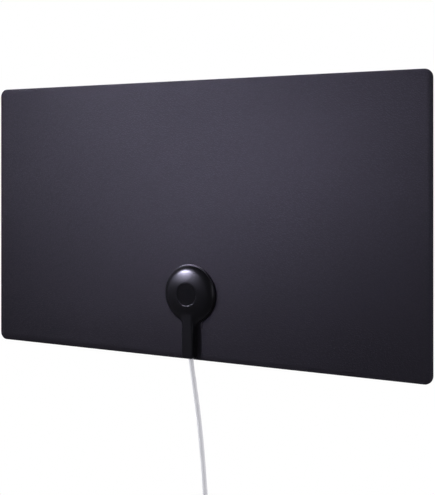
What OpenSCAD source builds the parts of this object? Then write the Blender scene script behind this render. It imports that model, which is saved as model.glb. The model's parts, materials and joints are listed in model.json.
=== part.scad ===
// Flat indoor television antenna for a wall: a thin laminated sheet with two
// foil elements inside, a moulded dome-and-stem housing on its front, and a
// captive coaxial cord that ends in a push-fit plug.
// X runs across the sheet, Z is up and the front looks towards -Y. The origin
// is the centre of the back face, which lies against the wall.

/* [Sheet] */
// Width of the sheet
sheet_w = 430; // [320:5:560]
// Height of the sheet
sheet_h = 238; // [180:2:340]
// Corner radius of the sheet
sheet_corner_r = 7; // [2:1:20]
// Thickness of the grained front film
front_t = 0.6; // [0.4:0.05:1.2]
// Thickness of the rear film
rear_t = 0.5; // [0.4:0.05:1.2]

/* [Foil elements] */
// Thickness of the aluminium foil
foil_t = 0.1; // [0.05:0.05:0.2]
// Gap between the two elements on the centre line
foil_gap = 6; // [3:0.5:8]
// Margin from the foil to the edge of the sheet
foil_margin = 12; // [6:1:20]
// Width of the foil bands that frame the windows
foil_band = 16; // [14:1:22]
// Width of the bars between windows
foil_bar = 9; // [5:1:14]
// Windows along the width of one element
window_cols = 3; // [2:1:5]
// Windows along its height
window_rows = 2; // [1:1:4]

/* [Housing outline] */
// Diameter of the round base
base_d = 50; // [48:0.5:60]
// Distance from the bottom edge of the sheet up to the dome's centre
dome_up = 56; // [50:1:75]
// Width of the stem at its base
stem_w = 12.4; // [11.6:0.2:15]
// Radius of the concave fillets where stem and disc meet
neck_r = 10; // [6:0.5:12]
// Corner radius at the foot of the stem
foot_r = 2; // [1:0.25:3]
// How far the stem stops short of the sheet's bottom edge
foot_gap = 0.5; // [0:0.25:3]

/* [Housing section] */
// Thickness of the adhesive pad under the housing
pad_t = 0.2; // [0.1:0.05:0.5]
// Thickness of the base plate
base_t = 1.4; // [1.2:0.1:2]
// Width of the ledge that the base shows outside the cover
ledge = 0.7; // [0.3:0.1:1.2]
// Height of the crown above the base plate
crown_h = 6.8; // [6.4:0.1:9]
// Height of the stem's flat front above the base plate
stem_rise = 4.7; // [4.5:0.1:5.2]
// Radius of curvature of the dome's top
cap_r = 70; // [55:1:90]
// Radius of the dome's shoulder
shoulder_r = 10; // [9.5:0.25:12]
// Radius along the stem's front edges
stem_edge_r = 1.2; // [0.5:0.1:2]
// Wall of the dome
wall = 1.4; // [1.2:0.1:1.6]
// Wall of the stem
stem_wall = 1; // [0.8:0.1:1.1]

/* [Medallion] */
// Diameter of the plain medallion
badge_d = 19; // [14:0.5:20]
// Thickness of the medallion
badge_t = 0.7; // [0.5:0.05:0.9]
// Clearance round it in its recess
badge_fit = 0.15; // [0.1:0.05:0.4]
// Depth of its rim below the edge of its recess
badge_sink = 0.1; // [0.05:0.05:0.3]
// Width of its raised rim
badge_rim = 1.1; // [0.6:0.1:2]
// Depth of its field below the rim
badge_dish = 0.25; // [0.1:0.05:0.35]

/* [Circuit board] */
// Radius of the board
board_r = 12; // [11:0.25:12.2]
// How far the board's centre lies above the dome's centre
board_up = 7; // [6.5:0.25:7.2]
// Thickness of the board
board_t = 1; // [0.6:0.1:1.2]
// Height of the posts under the board
post_h = 0.8; // [0.5:0.1:1]
// Half the distance between the two feed rivets
feed_x = 7; // [6.5:0.25:8]
// Height of the feed rivets above the dome's centre
feed_up = 2; // [1.5:0.25:3]
// Diameter of a feed rivet's shank
rivet_d = 1.8; // [1.4:0.1:2.2]

/* [Cord] */
// Diameter of the coaxial cord
cord_d = 4; // [3.6:0.1:4.1]
// Lean of the cord to the right where it leaves the stem, in degrees
cord_lean = 8.5; // [6:0.5:9]
// How far right of the stem's middle the cord leaves
cord_x = 2.45; // [1.5:0.05:2.5]
// Diameter of the coil at the middle of its turns
coil_d = 48; // [44:1:56]
// Turns of the coil side by side
coil_wide = 4; // [3:1:5]
// Turns of the coil on top of each other
coil_deep = 3; // [2:1:4]

/* [Plug] */
// Outside diameter of the plug's metal sleeve
plug_sleeve_d = 9.52; // [9.4:0.01:9.6]
// Exposed length of the metal sleeve
plug_sleeve_l = 9; // [8:0.5:12]
// Wall of the metal sleeve
plug_sleeve_t = 0.6; // [0.4:0.1:0.8]
// Diameter of the plug's centre pin
plug_pin_d = 2.4; // [2.2:0.05:2.6]
// Diameter of the plug's moulded grip
plug_grip_d = 13; // [12:0.5:16]
// Length of the plug's moulded grip
plug_grip_l = 20; // [16:1:26]

/* [Hidden] */
$fn = 64;

film_black = "#2b2a31";
shell_black = "#1c1c1f";
cord_grey = "#d6d6da";
eps = 0.01;
// How far cuts reach past the faces that they open
over = 1;

// Heights are measured from the wall, which is height 0
sheet_t = front_t + rear_t;
foil_z = rear_t - foil_t;
base_z = sheet_t + pad_t;
seam_z = base_z + base_t;
crown_z = seam_z + crown_h;
stem_z = seam_z + stem_rise;

dome_y = dome_up - sheet_h / 2;
base_r = base_d / 2;
stem_l = dome_up - foot_gap;
pad_inset = 1.2;

// Centre of the concave fillet between disc and stem
neck_x = stem_w / 2 + neck_r;
neck_y = -sqrt(pow(base_r + neck_r, 2) - pow(neck_x, 2));

// The dome's section is a flat cap arc that runs tangent into a shoulder arc.
// The shoulder starts at the seam, where the cover is a ledge inside the base.
seam_r = base_r - ledge;
cap_z = crown_z - cap_r;
reach = cap_r - shoulder_r;
seam_span = norm([seam_r, seam_z - cap_z]);
seam_along = (reach * reach - shoulder_r * shoulder_r + seam_span * seam_span) / (2 * seam_span);
seam_off = sqrt(reach * reach - seam_along * seam_along);
seam_dir = [seam_r, seam_z - cap_z] / seam_span;
shoulder_x = seam_dir[0] * seam_along - seam_dir[1] * seam_off;
shoulder_z = cap_z + seam_dir[1] * seam_along + seam_dir[0] * seam_off;
blend_dir = [shoulder_x, shoulder_z - cap_z] / reach;

badge_r = badge_d / 2;
recess_r = badge_r + badge_fit;
badge_top = cap_z + sqrt(cap_r * cap_r - recess_r * recess_r) - badge_sink;
recess_z = badge_top - badge_t;
recess_floor = wall / 2;
recess_rim = 1;

// Cover screws: four, in bosses that hang from the dome's shoulder
screw_d = 2;
screw_core_d = 1.7;
screw_fit = 0.2;
screw_head_d = 3.4;
screw_head_t = 0.9;
drive_slot = [1.6, 0.4, 0.45];
screw_tip_z = seam_z + 2.4;
boss_d = 4.4;
boss_spots = [[14.2, 9.4], [-14.2, 9.4], [14.2, -9.4], [-14.2, -9.4]];

rib_h = 1;
rib_t = 0.9;
rib_fit = 0.2;

board_z = seam_z + post_h;
board_top = board_z + board_t;
board_y = board_up;
post_d = 3.4;
stake_d = 1.4;
stake_fit = 0.1;
stake_over = 0.3;
post_spots = [[8, board_y + 5], [-8, board_y + 5], [4.4, board_y - 8.5]];

rivet_head_r = 1.6;
rivet_head_t = 0.4;
rivet_fit = 0.2;

core_size = [8, 6, 2.2];
core_hole_d = 1.6;
core_hole_gap = 3.6;
core_up = board_y + 1.5;
winding_d = 0.5;
winding_out = 0.3;

chip_size = [1.6, 0.8, 0.5];
chip_y = board_y - 5;
chip_pitch = 2.2;
chip_spots = [for (i = [-1.5 : 1.5]) [chip_pitch * i, chip_y]];

// The lead lies slantwise in the stem, just above a groove in the base
lead_clear = 0.1;
cord_r = cord_d / 2;
lead_z = stem_z - stem_wall - lead_clear - cord_r;
lead_foot = -stem_l;
lead_start = 0.1;
clamp_y = -9;
clamp_l = 4;
jacket_l = stem_l - 6.5;
braid_l = 1.2;
core_l = 2.6;
wire_l = 1.6;
braid_d = 2.9;
dielectric_d = 2.2;
wire_d = 0.7;
stub_l = jacket_l + braid_l + core_l + wire_l;
clamp_w = 11;
clamp_foot_t = 1.4;
clamp_over = 0.6;
clamp_screw_x = 4;
clamp_screw_d = 1.6;
clamp_head_d = 2.4;
clamp_head_t = 0.6;
clamp_slot_w = 0.4;

// Route of the free cord from the foot of the stem down to its coil
cord_exit = [cord_x, -lead_z, dome_y - stem_l];
cord_route = [
  [3.8, -4.3, -127.5], [6.0, -4, -142], [8.1, -3.5, -157],
  [10.1, -3, -173], [11.9, -2.6, -191], [13.6, -2.4, -209],
  [15.1, -2.4, -227], [16.5, -2.6, -243], [17.7, -2.8, -256], [18.6, -3, -264]
];
coil_c = [-9, -281];
coil_in = coil_d / 2 - coil_deep * cord_d / 2;
coil_out = coil_d / 2 + coil_deep * cord_d / 2;
tie_t = 0.8;
coil_back = tie_t + 0.2;
coil_front = coil_back + coil_wide * cord_d;
coil_round = cord_r;
tie_turn = 12;
tie_at = 52;

// The tail leaves the front of the coil at its right side and hangs straight
tail_x = coil_c[0] + coil_out - cord_r;
tail_y = -(coil_front - cord_r);
tail_top = coil_c[1] - 8;
tail_l = 14;
plug_z = tail_top - tail_l;
relief_l = 11;
relief_d = 6.4;
relief_flare = 1;
grip_end = -relief_l - plug_grip_l;
grip_neck_l = 3;
grip_collar_l = 2.5;
grip_rib_h = 0.6;
grip_rib_w = 1.2;
grip_rib_pitch = 2;
grip_rib_first = 4;
grip_ribs = 6;
tang_l = 5;
tang_step = 0.6;
pin_root = 3;
pin_tip = 0.8;
pin_short = 0.5;

// Turns a drawing in the plane of the sheet upright, with its height forward
module upright() rotate([90, 0, 0]) children();

// Places children at the centre of the dome, with heights still from the wall
module at_dome() upright() translate([0, dome_y, 0]) children();

module rounded_plate(w, h, r, z0, z1) {
  translate([0, 0, z0]) linear_extrude(z1 - z0) {
    square([w - 2 * r, h], center = true);
    square([w, h - 2 * r], center = true);
    for (x = [-1, 1], y = [-1, 1]) translate([x * (w / 2 - r), y * (h / 2 - r)]) circle(r);
  }
}

// One half of the foil pattern: a plate with windows, x running outwards
module element_outline() {
  x0 = foil_gap / 2;
  x1 = sheet_w / 2 - foil_margin;
  y1 = sheet_h / 2 - foil_margin;
  cell_w = (x1 - x0 - 2 * foil_band - (window_cols - 1) * foil_bar) / window_cols;
  cell_h = (2 * y1 - 2 * foil_band - (window_rows - 1) * foil_bar) / window_rows;
  difference() {
    translate([x0, -y1]) square([x1 - x0, 2 * y1]);
    for (i = [0 : window_cols - 1], j = [0 : window_rows - 1])
      translate([
        x0 + foil_band + i * (cell_w + foil_bar),
        -y1 + foil_band + j * (cell_h + foil_bar)
      ]) square([cell_w, cell_h]);
  }
}

module element(side) {
  upright() difference() {
    translate([0, 0, foil_z]) linear_extrude(foil_t) scale([side, 1]) element_outline();
    translate([side * feed_x, dome_y + feed_up, 0]) cylinder(d = rivet_d, h = sheet_t);
  }
}

module rivet_holes(d) {
  for (side = [-1, 1]) translate([side * feed_x, feed_up, -over]) cylinder(d = d, h = crown_z);
}

module front_sheet() {
  color(film_black) difference() {
    upright() rounded_plate(sheet_w, sheet_h, sheet_corner_r, rear_t, sheet_t);
    at_dome() rivet_holes(rivet_d + 2 * rivet_fit);
  }
}

// The foil and the rivet heads are pressed into the rear film as it is bonded
module rear_sheet() {
  color(film_black) difference() {
    upright() rounded_plate(sheet_w, sheet_h, sheet_corner_r, 0, rear_t);
    upright() for (side = [-1, 1])
      translate([0, 0, foil_z]) linear_extrude(over) scale([side, 1]) element_outline();
    at_dome() for (side = [-1, 1])
      translate([side * feed_x, feed_up, foil_z - rivet_head_t / 2])
        cylinder(r = rivet_head_r, h = over);
  }
}

module element_left() color("#c9cbcd") element(-1);

module element_right() color("#c9cbcd") element(1);

// Outline of the base: a disc, a stem and the concave fillets in the neck
module base_outline() {
  half = stem_w / 2;
  circle(base_r, $fn = 128);
  translate([-half, -stem_l + foot_r]) square([stem_w, stem_l - foot_r]);
  translate([-half + foot_r, -stem_l]) square([stem_w - 2 * foot_r, 2 * foot_r]);
  for (x = [-1, 1]) translate([x * (half - foot_r), -stem_l + foot_r]) circle(foot_r);
  difference() {
    polygon([[0, 0], [neck_x, neck_y], [-neck_x, neck_y]]);
    for (x = [-1, 1]) translate([x * neck_x, neck_y]) circle(neck_r, $fn = 96);
  }
}

module base_pad() {
  color("#e8e6dc") at_dome() difference() {
    translate([0, 0, sheet_t]) linear_extrude(pad_t) {
      circle(base_r - pad_inset);
      translate([-stem_w / 2 + pad_inset, -stem_l + pad_inset])
        square([stem_w - 2 * pad_inset, stem_l - pad_inset]);
    }
    rivet_holes(rivet_d + 2 * rivet_fit);
  }
}

module along_lead() {
  translate([cord_x, lead_foot, 0]) rotate([0, 0, cord_lean]) children();
}

// Straight round bar along the lead, from a to b measured up from the foot
module lead_bar(d, a, b) {
  along_lead() translate([0, a, lead_z]) rotate([-90, 0, 0]) cylinder(d = d, h = b - a);
}

module housing_base() {
  groove_d = cord_d + 2 * lead_clear;
  color(shell_black) at_dome() difference() {
    union() {
      translate([0, 0, base_z]) linear_extrude(base_t) base_outline();
      translate([0, 0, seam_z - eps]) difference() {
        cylinder(r = rib_r, h = rib_h + eps);
        translate([0, 0, -over]) cylinder(r = rib_r - rib_t, h = rib_h + 3 * over);
        translate([-stem_w / 2, -base_r, -over]) cube([stem_w, base_r, rib_h + 3 * over]);
      }
      for (p = post_spots) translate([p[0], p[1], seam_z - eps]) {
        cylinder(d = post_d, h = post_h + eps);
        cylinder(d = stake_d, h = post_h + board_t + stake_over);
      }
    }
    for (p = boss_spots) translate([p[0], p[1], 0]) {
      cylinder(d = screw_d + screw_fit, h = crown_z);
      translate([0, 0, base_z - eps])
        cylinder(d1 = screw_head_d + 2 * eps, d2 = screw_d, h = screw_head_t);
    }
    rivet_holes(rivet_d + 2 * rivet_fit);
    lead_bar(groove_d, -2 * over, jacket_l + over);
    clamp_holes(clamp_screw_d);
  }
}

// Inner radius of the cover at a height z, and the rib that centres the cover
function inner_r(z) = shoulder_x + sqrt(pow(shoulder_r - wall, 2) - pow(z - shoulder_z, 2));
rib_r = inner_r(seam_z + rib_h) - rib_fit;

// Half section of the dome above height z0, all its surfaces moved in by inset
module dome_section(inset, z0) {
  blend_x = shoulder_x + (shoulder_r - inset) * blend_dir[0];
  intersection() {
    translate([0, cap_z]) circle(cap_r - inset, $fn = 256);
    translate([0, z0]) square([blend_x, crown_z]);
  }
  intersection() {
    translate([shoulder_x, shoulder_z]) circle(shoulder_r - inset, $fn = 128);
    translate([blend_x - eps, z0]) square([base_r, crown_z]);
  }
}

// The stem as the meeting of three outlines: across, along and in plan
module stem_block(inset, z0, foot) {
  half = stem_w / 2 - ledge - inset;
  top = stem_z - inset;
  edge = max(stem_edge_r - inset, 0.2);
  corner = max(foot_r - ledge - inset, 0.2);
  stem_start = -base_r / 2;
  intersection() {
    translate([0, stem_start, 0]) rotate([90, 0, 0]) linear_extrude(stem_l) {
      translate([-half, z0]) square([2 * half, top - edge - z0]);
      translate([-half + edge, z0]) square([2 * (half - edge), top - z0]);
      for (x = [-1, 1]) translate([x * (half - edge), top - edge]) circle(edge);
    }
    translate([-stem_w, 0, 0]) rotate([90, 0, 90]) linear_extrude(2 * stem_w) {
      translate([foot, z0]) square([-foot, top - edge - z0]);
      translate([foot + edge, z0]) square([-foot - edge, top - z0]);
      translate([foot + edge, top - edge]) circle(edge);
    }
    translate([0, 0, z0]) linear_extrude(top - z0) {
      translate([-half, foot + corner]) square([2 * half, -foot - corner]);
      translate([-half + corner, foot]) square([2 * (half - corner), 2 * corner]);
      for (x = [-1, 1]) translate([x * (half - corner), foot + corner]) circle(corner);
    }
  }
}

// Web in the neck: it flares from the stem's side like the shoulder of the
// dome. It is tucked under the dome a little, so that no two faces coincide.
module neck_web() {
  tuck = 0.05;
  ring_x = neck_r + ledge + tuck + seam_r - shoulder_x;
  for (x = [-1, 1]) difference() {
    translate([0, 0, seam_z]) linear_extrude(stem_rise)
      polygon([[0, 0], [x * neck_x, neck_y], [0, neck_y]]);
    translate([x * neck_x, neck_y, 0]) rotate_extrude($fn = 128) difference() {
      translate([0, seam_z - over]) square([ring_x, stem_rise + 3 * over]);
      translate([ring_x, shoulder_z]) circle(shoulder_r, $fn = 128);
    }
  }
}

module cover_body() {
  rotate_extrude($fn = 128) dome_section(0, seam_z);
  stem_block(0, seam_z, -stem_l + ledge);
  neck_web();
}

module housing_cover() {
  color(shell_black) at_dome() difference() {
    cover_body();
    difference() {
      rotate_extrude($fn = 128) dome_section(wall, seam_z - over);
      for (p = boss_spots) translate([p[0], p[1], 0]) cylinder(d = boss_d, h = crown_z);
      translate([0, 0, recess_z - recess_floor]) cylinder(r = recess_r + recess_rim, h = crown_z);
    }
    stem_block(stem_wall, seam_z - over, -stem_l + ledge + stem_wall);
    for (p = boss_spots) translate([p[0], p[1], seam_z - over])
      cylinder(d = screw_core_d, h = screw_tip_z + screw_fit - seam_z + over);
    translate([0, 0, recess_z]) cylinder(r = recess_r, h = crown_z, $fn = 128);
    lead_bar(cord_d + lead_clear, -3 * over, jacket_l + over);
    along_lead() translate([-cord_r - lead_clear / 2, -3 * over, 0])
      cube([cord_d + lead_clear, stem_wall + 6 * over, lead_z]);
  }
}

module medallion() {
  color(shell_black) at_dome() rotate_extrude($fn = 128) difference() {
    translate([0, recess_z]) square([badge_r, badge_t]);
    translate([0, badge_top - badge_dish]) square([badge_r - badge_rim, over]);
    translate([badge_r, badge_top]) rotate(45) square(badge_dish, center = true);
  }
}

module cover_screws() {
  color("silver") at_dome() for (p = boss_spots) translate([p[0], p[1], base_z]) difference() {
    union() {
      cylinder(d1 = screw_head_d - screw_fit, d2 = screw_d - screw_fit, h = screw_head_t);
      cylinder(d = screw_core_d, h = screw_tip_z - base_z);
    }
    for (a = [0, 90]) rotate(a)
      translate([-drive_slot[0] / 2, -drive_slot[1] / 2, -eps]) cube(drive_slot);
  }
}

module circuit_board() {
  notch_w = braid_d + 0.4;
  color("#2f6b3c") at_dome() difference() {
    translate([0, board_y, board_z]) cylinder(r = board_r, h = board_t);
    rivet_holes(rivet_d);
    for (p = post_spots) translate([p[0], p[1], 0])
      cylinder(d = stake_d + 2 * stake_fit, h = crown_z);
    along_lead() translate([-notch_w / 2, 0, 0]) cube([notch_w, stub_l, crown_z]);
  }
}

module balun_core() {
  color("#4a4a4e") at_dome() translate([0, core_up, board_top]) difference() {
    translate([-core_size[0] / 2, -core_size[1] / 2, 0]) cube(core_size);
    for (x = [-1, 1]) translate([x * core_hole_gap / 2, core_size[1], core_size[2] / 2])
      rotate([90, 0, 0]) cylinder(d = core_hole_d, h = 2 * core_size[1]);
  }
}

// Two turns of wire, each a racetrack through both holes of the core
module balun_winding() {
  run = core_size[1] + 2 * winding_out;
  color("#b4642c") at_dome() for (turn = [-1, 1])
    translate([0, core_up, board_top + core_size[2] / 2 + turn * winding_d * 0.6]) {
      for (x = [-1, 1]) translate([x * core_hole_gap / 2, run / 2, 0])
        rotate([90, 0, 0]) cylinder(d = winding_d, h = run, $fn = 24);
      for (y = [0, 180]) rotate(y) translate([0, run / 2, 0])
        rotate_extrude(angle = 180) translate([core_hole_gap / 2, 0]) circle(d = winding_d, $fn = 24);
    }
}

module chip_parts() {
  color("#b9a888") at_dome() for (p = chip_spots)
    translate([p[0] - chip_size[0] / 2, p[1] - chip_size[1] / 2, board_top]) cube(chip_size);
}

module feed_rivet(side) {
  at_dome() translate([side * feed_x, feed_up, 0]) {
    translate([0, 0, foil_z - rivet_head_t / 2]) cylinder(r = rivet_head_r, h = rivet_head_t / 2);
    translate([0, 0, foil_z - rivet_head_t / 2])
      cylinder(d = rivet_d, h = board_top - foil_z + rivet_head_t);
    translate([0, 0, board_top]) cylinder(r = rivet_head_r, h = rivet_head_t);
  }
}

module feed_rivet_left() color("#c8a34e") feed_rivet(-1);

module feed_rivet_right() color("#c8a34e") feed_rivet(1);

module lead_jacket() color(cord_grey) at_dome() lead_bar(cord_d, lead_start, jacket_l);

module lead_braid() {
  color("#a9abae") at_dome() lead_bar(braid_d, jacket_l, jacket_l + braid_l);
}

module lead_core() {
  color("#f2f2ee") at_dome() lead_bar(dielectric_d, jacket_l + braid_l, jacket_l + braid_l + core_l);
}

module lead_wire() {
  color("#b4642c") at_dome() lead_bar(wire_d, stub_l - wire_l, stub_l);
}

module clamp_holes(d) {
  along_lead() for (x = [-1, 1])
    translate([x * clamp_screw_x, stem_l + clamp_y, base_z - eps]) cylinder(d = d, h = crown_z);
}

// Saddle over the jacket: two feet with screw holes and an arch between them
module cord_clamp() {
  top = lead_z + cord_r + clamp_over;
  color("#3a3a3e") at_dome() difference() {
    along_lead() translate([0, stem_l + clamp_y - clamp_l / 2, 0]) {
      translate([-clamp_w / 2, 0, seam_z]) cube([clamp_w, clamp_l, clamp_foot_t]);
      translate([0, 0, lead_z]) rotate([-90, 0, 0]) cylinder(r = top - lead_z, h = clamp_l);
    }
    lead_bar(cord_d, 0, stub_l);
    translate([-base_r, -base_r, 0]) cube([base_d, base_d, seam_z]);
    clamp_holes(clamp_screw_d + screw_fit);
  }
}

module clamp_screws() {
  color("silver") at_dome() along_lead() for (x = [-1, 1])
    translate([x * clamp_screw_x, stem_l + clamp_y, 0]) difference() {
      union() {
        translate([0, 0, base_z]) cylinder(d = clamp_screw_d, h = seam_z + clamp_foot_t - base_z);
        translate([0, 0, seam_z + clamp_foot_t]) cylinder(d = clamp_head_d, h = clamp_head_t);
      }
      translate([-clamp_head_d, -clamp_slot_w / 2, seam_z + clamp_foot_t + clamp_head_t / 2])
        cube([2 * clamp_head_d, clamp_slot_w, clamp_head_t]);
    }
}

function unit(v) = v / norm(v);

// Points on a smooth curve through route points a, b, c and d, between b and c
function curve_point(a, b, c, d, t) =
  0.5 * (2 * b + (c - a) * t + (2 * a - 5 * b + 4 * c - d) * t * t
    + (3 * b - a - 3 * c + d) * t * t * t);

function smooth_route(p, steps) = [
  for (i = [0 : len(p) - 2], k = [0 : steps - 1])
    curve_point(p[max(i - 1, 0)], p[i], p[i + 1], p[min(i + 2, len(p) - 1)], k / steps),
  p[len(p) - 1]
];

// A round tube along points p, closed at both ends with flat faces
module tube_along(p, r, sides) {
  n = len(p);
  rings = [
    for (i = [0 : n - 1])
      let (
        way = unit(p[min(i + 1, n - 1)] - p[max(i - 1, 0)]),
        u = unit(cross([0, 1, 0], way)),
        v = cross(way, u)
      )
      for (k = [0 : sides - 1]) p[i] + r * (cos(360 * k / sides) * u + sin(360 * k / sides) * v)
  ];
  sides_faces = [
    for (i = [0 : n - 2], k = [0 : sides - 1])
      [i * sides + k, i * sides + (k + 1) % sides, (i + 1) * sides + (k + 1) % sides, (i + 1) * sides + k]
  ];
  first = [for (k = [sides - 1 : -1 : 0]) k];
  last = [for (k = [0 : sides - 1]) (n - 1) * sides + k];
  polyhedron(points = rings, faces = concat([first], sides_faces, [last]));
}

module antenna_cord() {
  color(cord_grey) tube_along(smooth_route(concat([cord_exit], cord_route), 2), cord_r, 8);
}

module coil_section(grow) {
  translate([coil_in + coil_round - grow, coil_back - grow])
    square([coil_out - coil_in - 2 * coil_round + 2 * grow, coil_front - coil_back + 2 * grow]);
  translate([coil_in - grow, coil_back + coil_round - grow])
    square([coil_out - coil_in + 2 * grow, coil_front - coil_back - 2 * coil_round + 2 * grow]);
  for (x = [coil_in + coil_round - grow, coil_out - coil_round + grow])
    for (y = [coil_back + coil_round - grow, coil_front - coil_round + grow])
      translate([x, y]) circle(coil_round);
}

module at_coil() upright() translate([coil_c[0], coil_c[1], 0]) children();

module cord_coil() color(cord_grey) at_coil() rotate_extrude($fn = 96) coil_section(0);

module cord_tie() {
  color("#1d1d20") at_coil() rotate(tie_at) rotate_extrude(angle = tie_turn, $fn = 96) difference() {
    coil_section(tie_t);
    coil_section(0);
  }
}

module at_plug() translate([tail_x, tail_y, plug_z]) children();

// The tail leaves the coil along its side, so the coil's form is cut out of it
module plug_cord() {
  color(cord_grey) difference() {
    translate([tail_x, tail_y, plug_z]) cylinder(d = cord_d, h = tail_l);
    at_coil() rotate_extrude($fn = 96) coil_section(0);
  }
}

// Moulded grip: a tapered relief, a ribbed barrel and a collar at the sleeve
module plug_grip() {
  grip_r = plug_grip_d / 2;
  color(cord_grey) at_plug() difference() {
    union() {
      translate([0, 0, -relief_l])
        cylinder(d1 = relief_d + relief_flare, d2 = relief_d - relief_flare, h = relief_l);
      translate([0, 0, -relief_l - grip_neck_l])
        cylinder(r1 = grip_r, r2 = (relief_d + relief_flare) / 2, h = grip_neck_l);
      translate([0, 0, grip_end]) {
        cylinder(r = grip_r - grip_rib_h, h = plug_grip_l - grip_neck_l);
        cylinder(r = grip_r, h = grip_collar_l);
        for (i = [0 : grip_ribs - 1])
          translate([0, 0, grip_rib_first + i * grip_rib_pitch]) cylinder(r = grip_r, h = grip_rib_w);
      }
    }
    translate([0, 0, grip_end - over]) cylinder(d = plug_sleeve_d - tang_step, h = over + tang_l);
  }
}

module plug_sleeve() {
  color("silver") at_plug() translate([0, 0, grip_end - plug_sleeve_l]) difference() {
    union() {
      cylinder(d = plug_sleeve_d, h = plug_sleeve_l);
      cylinder(d = plug_sleeve_d - tang_step, h = plug_sleeve_l + tang_l);
    }
    translate([0, 0, -over])
      cylinder(d = plug_sleeve_d - 2 * plug_sleeve_t, h = plug_sleeve_l + tang_l + 2 * over);
  }
}

module plug_insulator() {
  color("#efefe8") at_plug() translate([0, 0, grip_end]) difference() {
    cylinder(d = plug_sleeve_d - 2 * plug_sleeve_t, h = tang_l);
    translate([0, 0, -over]) cylinder(d = plug_pin_d, h = pin_root + over);
  }
}

module plug_pin() {
  pin_reach = plug_sleeve_l - pin_short;
  color("#c8a34e") at_plug() translate([0, 0, grip_end - pin_reach]) {
    translate([0, 0, pin_tip]) cylinder(d = plug_pin_d, h = pin_reach + pin_root - pin_tip);
    cylinder(d1 = plug_pin_d - pin_tip, d2 = plug_pin_d, h = pin_tip);
  }
}

front_sheet();
rear_sheet();
element_left();
element_right();
base_pad();
housing_base();
housing_cover();
medallion();
cover_screws();
circuit_board();
balun_core();
balun_winding();
chip_parts();
feed_rivet_left();
feed_rivet_right();
lead_jacket();
lead_braid();
lead_core();
lead_wire();
cord_clamp();
clamp_screws();
antenna_cord();
cord_coil();
cord_tie();
plug_cord();
plug_grip();
plug_insulator();
plug_sleeve();
plug_pin();
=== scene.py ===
"""Looks of a flat indoor television antenna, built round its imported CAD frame.

X runs across the sheet, Z is up and the front looks towards -Y. Blender works in
metres, so sizes are written in millimetres and turned into metres by ``mm``.
"""

from __future__ import annotations

import json
import logging
import math
from dataclasses import dataclass, field
from enum import Enum
from typing import Any, Callable, Mapping, Sequence

import bmesh
import bpy
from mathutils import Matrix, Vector

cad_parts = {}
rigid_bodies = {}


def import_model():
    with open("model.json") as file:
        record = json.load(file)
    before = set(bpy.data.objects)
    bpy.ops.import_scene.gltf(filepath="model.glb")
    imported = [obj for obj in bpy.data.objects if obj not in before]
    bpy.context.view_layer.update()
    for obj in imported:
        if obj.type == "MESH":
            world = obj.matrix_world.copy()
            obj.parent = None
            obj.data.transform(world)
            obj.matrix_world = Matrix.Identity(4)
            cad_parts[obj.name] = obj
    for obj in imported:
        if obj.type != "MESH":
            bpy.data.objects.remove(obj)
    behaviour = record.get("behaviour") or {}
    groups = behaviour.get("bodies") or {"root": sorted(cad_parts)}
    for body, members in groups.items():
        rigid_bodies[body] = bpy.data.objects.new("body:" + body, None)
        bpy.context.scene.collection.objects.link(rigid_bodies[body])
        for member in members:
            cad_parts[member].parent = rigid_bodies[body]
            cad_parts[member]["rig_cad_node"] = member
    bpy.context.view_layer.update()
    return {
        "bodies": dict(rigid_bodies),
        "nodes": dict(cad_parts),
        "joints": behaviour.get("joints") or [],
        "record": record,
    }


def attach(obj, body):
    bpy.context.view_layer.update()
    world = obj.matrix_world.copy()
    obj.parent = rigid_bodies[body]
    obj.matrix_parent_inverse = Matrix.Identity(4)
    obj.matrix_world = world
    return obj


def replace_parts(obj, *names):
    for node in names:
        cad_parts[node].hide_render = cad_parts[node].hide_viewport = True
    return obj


LOG = logging.getLogger("antenna")
BODY = "root"
UP = Vector((0, 0, 1))
FULL_TURN = 360

Point = tuple[float, float, float]
# Height and radius of one step of a turned piece, in millimetres.
Step = tuple[float, float]

# The sRGB curve: straight up to its knee and a power above it.
BYTE_TOP = 255
SRGB_KNEE = 0.04045
SRGB_SLOPE = 12.92
SRGB_OFFSET = 0.055
SRGB_POWER = 2.4

# Points closer together than this, in metres, are one point.
SAME_PLACE = 1e-6
# Slack for a place that an operator has worked out, in metres.
SLACK = 1e-5
# A face looks along an axis when its normal has more than this share there.
ALONG = 0.9

# Socket numbers of a Mix node: its two numbers, its two colours and the colour that comes out.
MIX_NUMBERS = (2, 3)
MIX_COLOURS = (6, 7)
MIX_COLOUR_OUT = 2
WHITE = (1, 1, 1, 1)


def mm(*values: float) -> Any:
    """Turns millimetres into metres.

    Args:
        values: One length, or the three coordinates of a point.

    Returns:
        One number for one value, and a Vector for three.
    """
    metres = [value / 1000 for value in values]
    return metres[0] if len(metres) == 1 else Vector(metres)


def linear(code: str) -> tuple[float, float, float, float]:
    """Turns an sRGB hex colour such as "#2b2a31" into linear RGBA.

    Args:
        code: The colour as a hash and six hex digits.

    Returns:
        Red, green, blue and an alpha of 1, as Blender's sockets take them.
    """
    parts = [int(code[i : i + 2], 16) / BYTE_TOP for i in (1, 3, 5)]
    red, green, blue = (
        c / SRGB_SLOPE if c <= SRGB_KNEE else ((c + SRGB_OFFSET) / (1 + SRGB_OFFSET)) ** SRGB_POWER
        for c in parts
    )
    return red, green, blue, 1.0


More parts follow.
